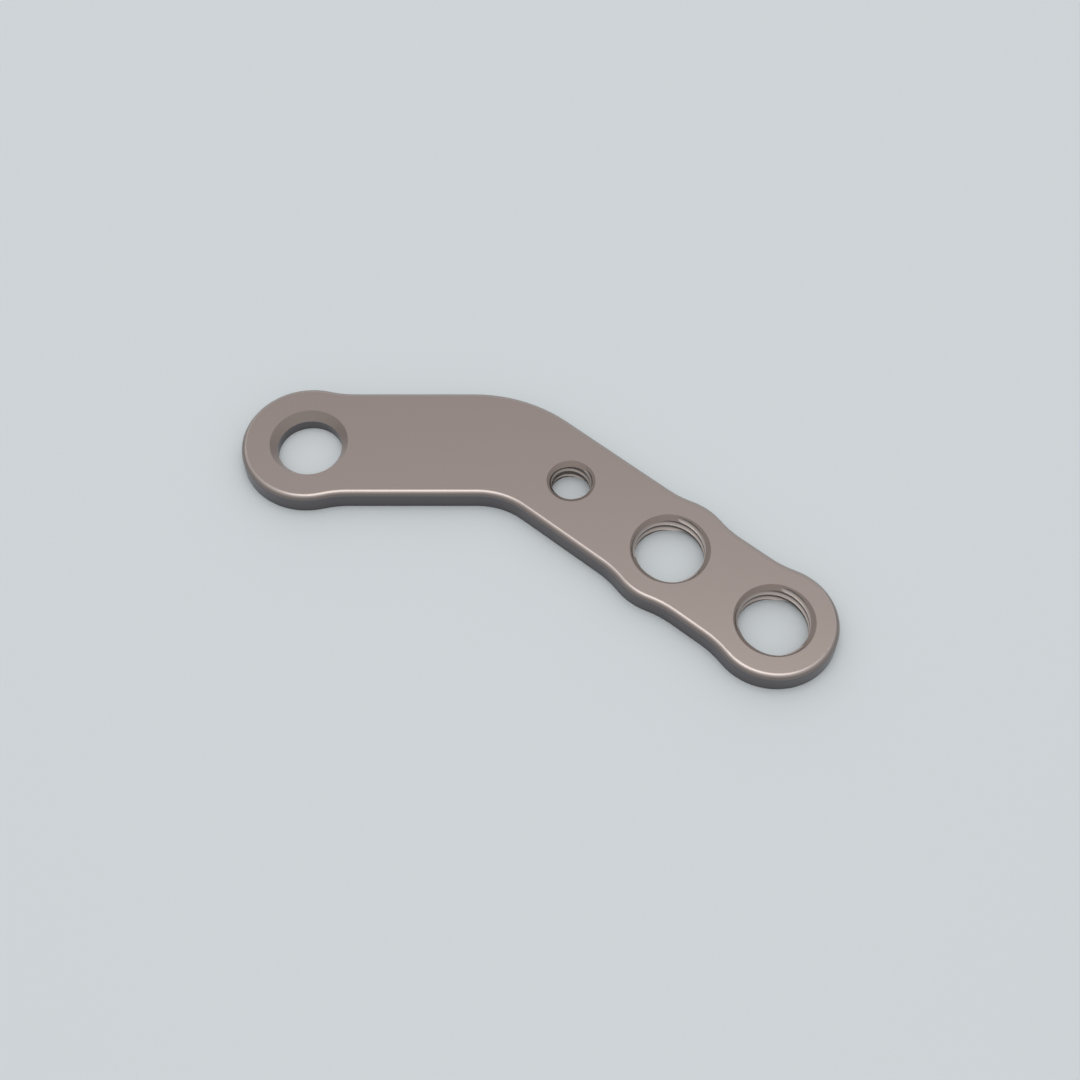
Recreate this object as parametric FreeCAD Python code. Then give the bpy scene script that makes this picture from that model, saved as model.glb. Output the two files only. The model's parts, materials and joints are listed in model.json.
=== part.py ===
"""One-piece bent bone plate with one countersunk hole and three threaded holes.

Units are millimetres. The origin is on the axis of the countersunk hole, in the
plane of the underside. +X runs along the first arm towards the elbow, +Z points
from the underside to the face that the screws go in by.
"""
import FreeCAD, Part
import math
import os

# Plate
plate_thickness = 1.4
top_edge_radius = 0.38

# First arm: it runs along +X from the countersunk hole to the elbow. A lobe is the
# round end or swelling about a hole, and stands out past each side of its arm.
arm_1_length = 13.4
arm_1_width = 8.1
lobe_1_overhang = 0.35

# Second arm: it leaves the elbow turned clockwise, seen from above
elbow_angle = 39.6
elbow_outer_radius = 9.7
elbow_inner_radius = 4.5
arm_2_width = 7.2
elbow_to_small_hole = 4.75
hole_pitch = 8.0
lobe_2_overhang = 0.4

# Concave arc between a lobe and the straight side of its arm
neck_radius = 6.2

# Countersunk hole
screw_hole_diameter = 4.2
countersink_diameter = 5.08
countersink_depth = 0.63

# Threaded holes: each is bored to the minor diameter, where the thread's crests end
locking_minor_diameter = 4.44
small_minor_diameter = 2.5
lead_in_width = 0.32
lead_in_depth = 0.25

# Far enough past a face for a cut to go clean through it
clear_of_face = 0.5

UP = FreeCAD.Vector(0, 0, 1)


def heading(degrees):
    """Level unit vector at this angle from +X."""
    turn = math.radians(degrees)
    return FreeCAD.Vector(math.cos(turn), math.sin(turn), 0)


def left_of(direction):
    """Level unit vector to the left of a level direction."""
    return UP.cross(direction)


lobe_1_radius = arm_1_width / 2 + lobe_1_overhang
lobe_2_radius = arm_2_width / 2 + lobe_2_overhang

arm_1_way = heading(0)
arm_2_way = heading(-elbow_angle)

screw_hole = FreeCAD.Vector(0, 0, 0)
elbow = screw_hole + arm_1_way * arm_1_length
small_hole = elbow + arm_2_way * elbow_to_small_hole
middle_hole = small_hole + arm_2_way * hole_pitch
end_hole = middle_hole + arm_2_way * hole_pitch


def neck(centre, along, outward, lobe_radius, arm_width):
    """Concave arc from a lobe to the side of its arm, as (edge, lobe end, arm end)."""
    half_width = arm_width / 2
    reach = math.sqrt((lobe_radius + neck_radius) ** 2 - (half_width + neck_radius) ** 2)
    arm_end = centre + along * reach + outward * half_width
    neck_centre = arm_end + outward * neck_radius
    to_lobe = (centre - neck_centre).normalize()
    lobe_end = neck_centre + to_lobe * neck_radius
    middle_way = (to_lobe - outward).normalize()
    edge = Part.Arc(lobe_end, neck_centre + middle_way * neck_radius, arm_end).toShape()
    return edge, lobe_end, arm_end


def elbow_arc(side, radius):
    """Arc round the elbow on one side (+1 outer, -1 inner), as (edge, start, end)."""
    half_1 = side * arm_1_width / 2
    half_2 = side * arm_2_width / 2
    outward_2 = left_of(arm_2_way)
    run = (half_1 - half_2 * outward_2.y) / arm_2_way.y
    corner = elbow + outward_2 * half_2 + arm_2_way * run
    half_turn = math.radians(elbow_angle) / 2
    tangent_length = radius * math.tan(half_turn)
    start = corner - arm_1_way * tangent_length
    end = corner + arm_2_way * tangent_length
    to_centre = (arm_2_way - arm_1_way).normalize()
    middle = corner + to_centre * (radius / math.cos(half_turn) - radius)
    return Part.Arc(start, middle, end).toShape(), start, end


def side_edges(side, elbow_radius):
    """One long side from the first lobe to the last, as (edges, first point, last point)."""
    outward_1 = left_of(arm_1_way) * side
    outward_2 = left_of(arm_2_way) * side
    neck_1, first, line_1 = neck(screw_hole, arm_1_way, outward_1, lobe_1_radius, arm_1_width)
    bend, bend_start, bend_end = elbow_arc(side, elbow_radius)
    neck_2, lobe_start, line_2 = neck(middle_hole, -arm_2_way, outward_2, lobe_2_radius, arm_2_width)
    neck_3, lobe_end, line_3 = neck(middle_hole, arm_2_way, outward_2, lobe_2_radius, arm_2_width)
    neck_4, last, line_4 = neck(end_hole, -arm_2_way, outward_2, lobe_2_radius, arm_2_width)
    lobe_top = middle_hole + outward_2 * lobe_2_radius
    edges = [
        neck_1,
        Part.makeLine(line_1, bend_start),
        bend,
        Part.makeLine(bend_end, line_2),
        neck_2,
        Part.Arc(lobe_start, lobe_top, lobe_end).toShape(),
        neck_3,
        Part.makeLine(line_3, line_4),
        neck_4,
    ]
    return edges, first, last


def blank():
    """The plate without its holes, with its upper edge rounded."""
    outer, outer_first, outer_last = side_edges(1, elbow_outer_radius)
    inner, inner_first, inner_last = side_edges(-1, elbow_inner_radius)
    first_end = screw_hole - arm_1_way * lobe_1_radius
    last_end = end_hole + arm_2_way * lobe_2_radius
    caps = [
        Part.Arc(outer_first, first_end, inner_first).toShape(),
        Part.Arc(outer_last, last_end, inner_last).toShape(),
    ]
    outline = Part.Wire(Part.__sortEdges__(outer + inner + caps))
    plate = Part.Face(outline).extrude(UP * plate_thickness)
    upper = [e for e in plate.Edges if e.BoundBox.ZMin > plate_thickness / 2]
    return plate.makeFillet(top_edge_radius, upper)


def bore(centre, radius):
    """Cylinder that cuts a hole right through the plate."""
    length = plate_thickness + 2 * clear_of_face
    return Part.makeCylinder(radius, length, centre - UP * clear_of_face, UP)


def flare(centre, radius, rim_radius, depth):
    """Cone that opens a hole of this radius to its rim at the upper face."""
    slope = (rim_radius - radius) / depth
    top_radius = rim_radius + slope * clear_of_face
    base = centre + UP * (plate_thickness - depth)
    return Part.makeCone(radius, top_radius, depth + clear_of_face, base, UP)


def hole(centre, diameter, rim_diameter, depth):
    """Everything that one hole takes away: its bore and the cone down from its rim."""
    radius = diameter / 2
    return bore(centre, radius).fuse(flare(centre, radius, rim_diameter / 2, depth))


def threaded_hole(centre, minor_diameter):
    """What a threaded hole takes away at its minor diameter, with its lead-in."""
    return hole(centre, minor_diameter, minor_diameter + 2 * lead_in_width, lead_in_depth)


plate = blank()
plate = plate.cut(hole(screw_hole, screw_hole_diameter, countersink_diameter, countersink_depth))
plate = plate.cut(threaded_hole(small_hole, small_minor_diameter))
for centre in (middle_hole, end_hole):
    plate = plate.cut(threaded_hole(centre, locking_minor_diameter))

os.makedirs("parts", exist_ok=True)
plate.exportStep("parts/plate.step")
box = plate.BoundBox
print("solids", len(plate.Solids), "valid", plate.isValid(), "volume", round(plate.Volume, 3))
print("box", round(box.XLength, 3), round(box.YLength, 3), round(box.ZLength, 3))
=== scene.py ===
"""Studio picture of a bent bone plate, lying flat on a pale floor."""
import json
import math
from collections import namedtuple

import bmesh
import bpy
from mathutils import Euler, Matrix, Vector
from mathutils.kdtree import KDTree


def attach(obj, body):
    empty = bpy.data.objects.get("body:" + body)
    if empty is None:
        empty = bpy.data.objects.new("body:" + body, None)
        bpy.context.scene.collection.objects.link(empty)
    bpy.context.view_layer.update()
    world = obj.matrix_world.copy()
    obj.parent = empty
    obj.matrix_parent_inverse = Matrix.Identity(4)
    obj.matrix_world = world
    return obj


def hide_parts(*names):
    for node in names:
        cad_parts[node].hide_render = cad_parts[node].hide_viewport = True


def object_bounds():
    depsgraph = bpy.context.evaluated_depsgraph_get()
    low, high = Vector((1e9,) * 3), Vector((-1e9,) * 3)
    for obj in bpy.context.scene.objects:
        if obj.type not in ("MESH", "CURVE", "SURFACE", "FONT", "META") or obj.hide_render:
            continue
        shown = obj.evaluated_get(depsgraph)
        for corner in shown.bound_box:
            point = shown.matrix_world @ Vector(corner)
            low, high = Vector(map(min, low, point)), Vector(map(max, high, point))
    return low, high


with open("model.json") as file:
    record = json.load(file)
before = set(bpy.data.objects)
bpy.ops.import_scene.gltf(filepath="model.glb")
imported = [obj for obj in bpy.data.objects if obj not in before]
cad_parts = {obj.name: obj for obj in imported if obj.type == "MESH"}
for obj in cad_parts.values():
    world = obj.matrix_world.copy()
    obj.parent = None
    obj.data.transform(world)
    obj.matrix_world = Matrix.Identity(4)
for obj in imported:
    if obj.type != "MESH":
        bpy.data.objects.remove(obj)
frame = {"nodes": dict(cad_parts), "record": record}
cad_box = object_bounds()

# Camera, from the photograph: metres and degrees. It sees from its distance divided by
# the clip ratio to its distance times that ratio.
CAMERA_DISTANCE = 0.10405
CAMERA_ELEVATION = 58.414
FOCAL_PIXELS = 1657.07
IMAGE_PIXELS = 1080
SENSOR_MM = 36.0
CLIP_RATIO = 50
LOOK_AT = (0.015067, -0.007492, 0.0014)

# Sky: the colour at each height of a direction, from level to straight up
SKY = (
    (0.00, (0.37, 0.40, 0.42)),
    (0.21, (0.41, 0.43, 0.44)),
    (0.53, (0.54, 0.54, 0.54)),
    (0.72, (0.68, 0.68, 0.68)),
    (0.88, (0.95, 0.95, 0.95)),
    (1.00, (1.05, 1.05, 1.05)),
)

# Lamps: name, radiance, width, depth and distance in metres, the lean in degrees from
# straight up towards the far side, and the turn of that lean towards the left. The
# softbox draws the bright line along the near edges, the fills light the ends, and the
# backdrop lights the far edges.
LAMPS = (
    ("softbox", 1.65, 0.27, 0.24, 0.4, 3.0, 0.0),
    ("backdrop", 0.35, 1.2, 0.35, 0.6, 70.0, 0.0),
    ("left_fill", 0.7, 0.20, 0.14, 0.6, 52.0, 50.0),
    ("right_fill", 0.5, 0.20, 0.14, 0.6, 50.0, -46.0),
)

# Floor, its side in metres
FLOOR_SIDE = 4.0
FLOOR_COLOUR = (0.64, 0.68, 0.70)
FLOOR_ROUGHNESS = 0.6

# Metal of the outside. The upper face is fine blasted, a painted highlight lightens the top of
# its rounded edge, and painted shade darkens the side. The stops give the colour at heights in
# metres.
FACE_COLOUR = (0.328, 0.277, 0.257)
# Painted highlight: the top of the rounded edge is lighter than the face's metal
EDGE_PAINTED_HIGHLIGHT = (0.390, 0.340, 0.320)
# Painted shade: the side's colour is darker than the face's metal
SIDE_PAINTED_SHADE = (0.160, 0.149, 0.157)
OUTSIDE = (
    (0.00108, SIDE_PAINTED_SHADE),
    (0.00125, FACE_COLOUR),
    (0.00134, EDGE_PAINTED_HIGHLIGHT),
    (0.001396, EDGE_PAINTED_HIGHLIGHT),
    (0.0014, FACE_COLOUR),
)
METAL_ROUGHNESS = 0.28

# Metal of the holes: name, colour, roughness and metallic share. Turned cones are duller
# than the face. Of a thread, the upward faces carry a painted highlight and the rest carries
# painted shade.
HOLE_METALS = (
    ("countersink", (0.40, 0.335, 0.31), 0.4, 0.6),
    ("lead_in", (0.29, 0.235, 0.21), 0.4, 0.6),
    ("flank_painted_light", (0.42, 0.37, 0.345), 0.25, 1.0),
    ("land_painted_shade", (0.16, 0.135, 0.125), 0.25, 1.0),
)

# Places of those metals in the plate's list, after the metal of the outside
COUNTERSINK, LEAD_IN, PAINTED_LIGHT_FLANK, PAINTED_SHADE_LAND = range(1, 5)

# Threads, in millimetres and degrees. All three are right-handed, with round-bottomed
# grooves. The groove's curve runs a little past its mouth into the bore, for a clean cut.
THREAD_PITCH = 0.6
THREAD_CREST_SHARE = 0.35
SECTION_STEPS = 12
SECTION_OVERRUN = 1.1

# For each threaded mount: how many starts its thread has, how deep its grooves are, and
# the angle from +X at which one of them crosses the underside
THREADS = {
    "small_locking_hole": (2, 0.15, 4.0),
    "middle_locking_hole": (3, 0.22, 41.0),
    "end_locking_hole": (3, 0.22, 41.0),
}

# Cutting, in millimetres. The allowance is what a finely stepped hole takes off the
# coarser steps of the frame's own mesh.
MM = 1000.0
THICKNESS = (cad_box[1][2] - cad_box[0][2]) * MM
HOLE_STEPS = 120
HOLE_ALLOWANCE = 0.003
CLEAR_OF_FACE = 0.2
MERGE_DISTANCE = 0.0002
SLIVER = 0.001

# Telling a hole's faces apart: how near to its cone the cone's faces lie, in millimetres,
# and how far up the normal of a thread's face points for it to take the painted highlight
# rather than the painted shade
CONE_TOLERANCE = 0.002
UP_FOR_PAINTED_LIGHT = 0.5

# Shading: a crease of more degrees than this stays a hard edge. The heights of normals
# tell the rounding's upper rows from the level face.
SHARP_ANGLE = 25.0
ROUNDED = 0.9
NEARLY_LEVEL = 0.975
LEVEL = 0.9999

# A hole in millimetres: its mount's name, its centre, the radius of its wall and of its
# rim, and the height at which its wall meets its cone
Hole = namedtuple("Hole", "name centre radius rim wall_top")


def new_object(name, data):
    """Object in the scene that holds this mesh, lamp or camera."""
    item = bpy.data.objects.new(name, data)
    bpy.context.scene.collection.objects.link(item)
    return item


def add_camera():
    """Camera at the photograph's viewing angle, looking at a point of the upper face."""
    data = bpy.data.cameras.new("camera")
    data.sensor_width = SENSOR_MM
    data.lens = FOCAL_PIXELS / IMAGE_PIXELS * SENSOR_MM
    data.clip_start = CAMERA_DISTANCE / CLIP_RATIO
    data.clip_end = CAMERA_DISTANCE * CLIP_RATIO
    camera = new_object("camera", data)
    tilt = math.radians(CAMERA_ELEVATION)
    back = Vector((0, -math.cos(tilt), math.sin(tilt)))
    camera.location = Vector(LOOK_AT) + back * CAMERA_DISTANCE
    camera.rotation_euler = (math.pi / 2 - tilt, 0, 0)
    bpy.context.scene.camera = camera


def add_lamp(name, radiance, width, depth, distance, lean, turn):
    """Rectangular lamp above the plate or behind it, which faces the plate."""
    data = bpy.data.lights.new(name, "AREA")
    data.shape = "RECTANGLE"
    data.size = width
    data.size_y = depth
    data.energy = radiance * math.pi * width * depth
    lamp = new_object(name, data)
    facing = Euler((-math.radians(lean), 0, math.radians(turn)))
    lamp.rotation_euler = facing
    lamp.location = Vector(LOOK_AT) + facing.to_matrix() @ Vector((0, 0, distance))


def plain_material(name, colour, roughness, metallic):
    """Material of one colour, and its shader."""
    material = bpy.data.materials.new(name)
    material.use_nodes = True
    shader = material.node_tree.nodes["Principled BSDF"]
    shader.inputs["Base Color"].default_value = (*colour, 1)
    shader.inputs["Metallic"].default_value = metallic
    shader.inputs["Roughness"].default_value = roughness
    return material, shader


def floor():
    """Pale matt floor under the plate."""
    bpy.ops.mesh.primitive_plane_add(size=FLOOR_SIDE, location=(0, 0, 0))
    plane = bpy.context.object
    plane.name = "floor"
    material, _ = plain_material("floor", FLOOR_COLOUR, FLOOR_ROUGHNESS, 0.0)
    plane.data.materials.append(material)


def height_ramp(tree, output, stops):
    """Colour ramp in a node tree, over the height of a texture coordinate."""
    place = tree.nodes.new("ShaderNodeTexCoord")
    parts = tree.nodes.new("ShaderNodeSeparateXYZ")
    share = tree.nodes.new("ShaderNodeMapRange")
    ramp = tree.nodes.new("ShaderNodeValToRGB")
    top = stops[-1][0]
    share.inputs["From Max"].default_value = top
    marks = ramp.color_ramp.elements
    while len(marks) < len(stops):
        marks.new(1.0)
    for mark, (height, colour) in zip(marks, stops):
        mark.position = height / top
        mark.color = (*colour, 1)
    tree.links.new(place.outputs[output], parts.inputs["Vector"])
    tree.links.new(parts.outputs["Z"], share.inputs["Value"])
    tree.links.new(share.outputs["Result"], ramp.inputs["Fac"])
    return ramp


def sky():
    """Studio light that grows from the horizon to straight up."""
    world = bpy.data.worlds.new("world")
    bpy.context.scene.world = world
    world.use_nodes = True
    ramp = height_ramp(world.node_tree, "Generated", SKY)
    background = world.node_tree.nodes["Background"]
    world.node_tree.links.new(ramp.outputs["Color"], background.inputs["Color"])


def outside_metal_with_painted_light():
    """Warm grey satin metal, with a painted highlight on the rounded edge and painted shade on
    the side.
    """
    material, shader = plain_material("outside", FACE_COLOUR, METAL_ROUGHNESS, 1.0)
    ramp = height_ramp(material.node_tree, "Object", OUTSIDE)
    material.node_tree.links.new(ramp.outputs["Color"], shader.inputs["Base Color"])
    return material


def closed_tube(form, rings):
    """Adds a closed triangulated solid through rings of points, each of one length."""
    rows = [[form.verts.new(point) for point in ring] for ring in rings]
    faces = [form.faces.new(rows[0]), form.faces.new(rows[-1])]
    for lower, upper in zip(rows, rows[1:]):
        for i in range(len(lower)):
            j = (i + 1) % len(lower)
            faces.append(form.faces.new((lower[i], lower[j], upper[j], upper[i])))
    bmesh.ops.recalc_face_normals(form, faces=faces)
    bmesh.ops.triangulate(form, faces=faces)


def about(hole, radius, angle, height):
    """Point at this radius, angle and height about a hole's axis."""
    x = hole.centre.x + radius * math.cos(angle)
    y = hole.centre.y + radius * math.sin(angle)
    return x, y, height


def cone_radius(hole, height):
    """Radius of a hole's cone at a height."""
    share = (height - hole.wall_top) / (THICKNESS - hole.wall_top)
    return hole.radius + (hole.rim - hole.radius) * share


def bore(form, hole):
    """Adds the solid that cuts a hole's wall and its cone."""
    over = THICKNESS + CLEAR_OF_FACE
    profile = (
        (hole.radius, -CLEAR_OF_FACE),
        (hole.radius, hole.wall_top),
        (cone_radius(hole, over), over),
    )
    angles = [2 * math.pi * step / HOLE_STEPS for step in range(HOLE_STEPS)]
    rings = [[about(hole, radius, angle, height) for angle in angles]
             for radius, height in profile]
    closed_tube(form, rings)


def groove_section(radius, depth):
    """Points (radius, height) of a groove's round-bottomed section about a crest circle."""
    half_mouth = THREAD_PITCH * (1 - THREAD_CREST_SHARE) / 2
    points = []
    for step in range(SECTION_STEPS + 1):
        share = SECTION_OVERRUN * (2 * step / SECTION_STEPS - 1)
        points.append((radius + depth * (1 - share ** 2), half_mouth * share))
    return points


def groove(form, hole, starts, depth, start_angle):
    """Adds the solid that cuts one groove of a thread, from under the plate to over it."""
    lead = THREAD_PITCH * starts
    rise = THICKNESS + 2 * THREAD_PITCH
    steps = math.ceil(rise / lead * HOLE_STEPS)
    section = groove_section(hole.radius, depth)
    rings = []
    for step in range(steps + 1):
        level = rise * step / steps - THREAD_PITCH
        angle = math.radians(start_angle) + 2 * math.pi * level / lead
        rings.append([about(hole, reach, angle, level + height) for reach, height in section])
    closed_tube(form, rings)


def thread(form, hole):
    """Adds the solids that cut every groove of a hole's thread."""
    starts, depth, first_angle = THREADS[hole.name]
    for start in range(starts):
        groove(form, hole, starts, depth, first_angle + start * 360 / starts)


def cut(piece, form):
    """Takes the solids in a form away from the piece, and frees the form."""
    mesh = bpy.data.meshes.new("tool")
    form.to_mesh(mesh)
    form.free()
    tool = new_object("tool", mesh)
    modifier = piece.modifiers.new("cut", "BOOLEAN")
    modifier.operation = "DIFFERENCE"
    modifier.solver = "EXACT"
    modifier.object = tool
    bpy.context.view_layer.update()
    graph = bpy.context.evaluated_depsgraph_get()
    result = bpy.data.meshes.new_from_object(piece.evaluated_get(graph))
    piece.modifiers.clear()
    piece.data = result
    bpy.data.objects.remove(tool)


def rim_radius(mesh, centre):
    """Radius of a hole's rim: the nearest point of the upper face to its axis."""
    return min(math.hypot(v.co.x - centre.x, v.co.y - centre.y)
               for v in mesh.vertices if v.co.z > THICKNESS - MERGE_DISTANCE)


def find_holes(mesh):
    """The plate's holes, each as its mount says and wider by the allowance."""
    holes = []
    for mount in frame["record"]["mounts"]:
        dims = mount["dims"]
        if "r_mm" not in dims:
            continue
        centre = Vector(mount["pos_m"]) * MM
        radius = dims["r_mm"] + HOLE_ALLOWANCE
        rim = rim_radius(mesh, centre) + HOLE_ALLOWANCE
        holes.append(Hole(mount["name"], centre, radius, rim, dims["length_mm"]))
    return holes


def welded(node):
    """Millimetre copy of a node's mesh with its split points joined."""
    form = bmesh.new()
    form.from_mesh(node.data)
    bmesh.ops.scale(form, vec=(MM, MM, MM), verts=form.verts)
    bmesh.ops.remove_doubles(form, verts=form.verts, dist=MERGE_DISTANCE)
    mesh = bpy.data.meshes.new("plate_threaded")
    form.to_mesh(mesh)
    form.free()
    mesh.attributes.remove(mesh.attributes["custom_normal"])
    return mesh


def to_metres(mesh):
    """Joins what lies closer than a sliver and scales the mesh to metres."""
    form = bmesh.new()
    form.from_mesh(mesh)
    bmesh.ops.remove_doubles(form, verts=form.verts, dist=SLIVER)
    bmesh.ops.scale(form, vec=(1 / MM, 1 / MM, 1 / MM), verts=form.verts)
    form.to_mesh(mesh)
    form.free()


def steadied(cad_mesh):
    """The frame's corner normals, where the row next to the upper face leans as the row below.

    The frame averages that row's normals with the thin triangles beside it, so here and
    there they lean askew.
    """
    normals = [corner.vector.copy() for corner in cad_mesh.corner_normals]
    places = [cad_mesh.vertices[loop.vertex_index].co for loop in cad_mesh.loops]
    tree = KDTree(len(normals))
    for i, normal in enumerate(normals):
        if ROUNDED < normal.z < NEARLY_LEVEL:
            tree.insert(places[i], i)
    tree.balance()
    for i, normal in enumerate(normals):
        if NEARLY_LEVEL <= normal.z < LEVEL:
            lean = normals[tree.find(places[i])[1]].xy.normalized()
            lean *= math.sqrt(1 - normal.z ** 2)
            normals[i] = Vector((lean.x, lean.y, normal.z))
    return normals


def smooth_normals(mesh, cad_mesh):
    """Shades smoothly: level faces as planes, and the outside with the frame's own normals."""
    mesh.shade_smooth()
    mesh.set_sharp_from_angle(angle=math.radians(SHARP_ANGLE))
    known = steadied(cad_mesh)
    tree = KDTree(len(known))
    for i, loop in enumerate(cad_mesh.loops):
        tree.insert(cad_mesh.vertices[loop.vertex_index].co, i)
    tree.balance()
    normals = [corner.vector.copy() for corner in mesh.corner_normals]
    near = MERGE_DISTANCE / MM
    top = cad_box[1][2] - near
    for face in mesh.polygons:
        for i in face.loop_indices:
            place = mesh.vertices[mesh.loops[i].vertex_index].co
            same = [known[k] for _, k, _ in tree.find_range(place, near)]
            if abs(face.normal.z) > LEVEL or (same and place.z > top):
                normals[i] = Vector((0, 0, math.copysign(1, face.normal.z)))
            elif same:
                normals[i] = max(same, key=face.normal.dot)
    mesh.normals_split_custom_set(normals)


def paint_holes(mesh, holes):
    """Gives the cones materials of their own, and paints the threads: a painted highlight on
    upward faces, painted shade on the rest.
    """
    for face in mesh.polygons:
        if abs(face.normal.z) > LEVEL:
            continue
        place = face.center * MM
        for hole in holes:
            reach = math.hypot(place.x - hole.centre.x, place.y - hole.centre.y)
            if reach > hole.rim:
                continue
            threaded = hole.name in THREADS
            off_cone = abs(reach - cone_radius(hole, place.z))
            if place.z > hole.wall_top and off_cone < CONE_TOLERANCE:
                face.material_index = LEAD_IN if threaded else COUNTERSINK
            elif threaded:
                # Painted light: upward thread faces take the lighter metal, all other thread
                # faces the painted shade
                face.material_index = PAINTED_LIGHT_FLANK if face.normal.z > UP_FOR_PAINTED_LIGHT else PAINTED_SHADE_LAND


def threaded_plate(node):
    """Copy of the plate with smooth round holes and with threads in the threaded ones."""
    piece = new_object("plate_threaded", welded(node))
    holes = find_holes(piece.data)
    bores = bmesh.new()
    for hole in holes:
        bore(bores, hole)
    cut(piece, bores)
    grooves = bmesh.new()
    for hole in holes:
        if hole.name in THREADS:
            thread(grooves, hole)
    cut(piece, grooves)
    to_metres(piece.data)
    smooth_normals(piece.data, node.data)
    paint_holes(piece.data, holes)
    piece.data.materials.append(outside_metal_with_painted_light())
    for finish in HOLE_METALS:
        piece.data.materials.append(plain_material(*finish)[0])
    return piece


add_camera()
floor()
sky()
for lamp in LAMPS:
    add_lamp(*lamp)

plate = threaded_plate(frame["nodes"]["plate"])
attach(plate, "root")
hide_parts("plate")

scene = bpy.context.scene
scene.view_settings.view_transform = "Standard"
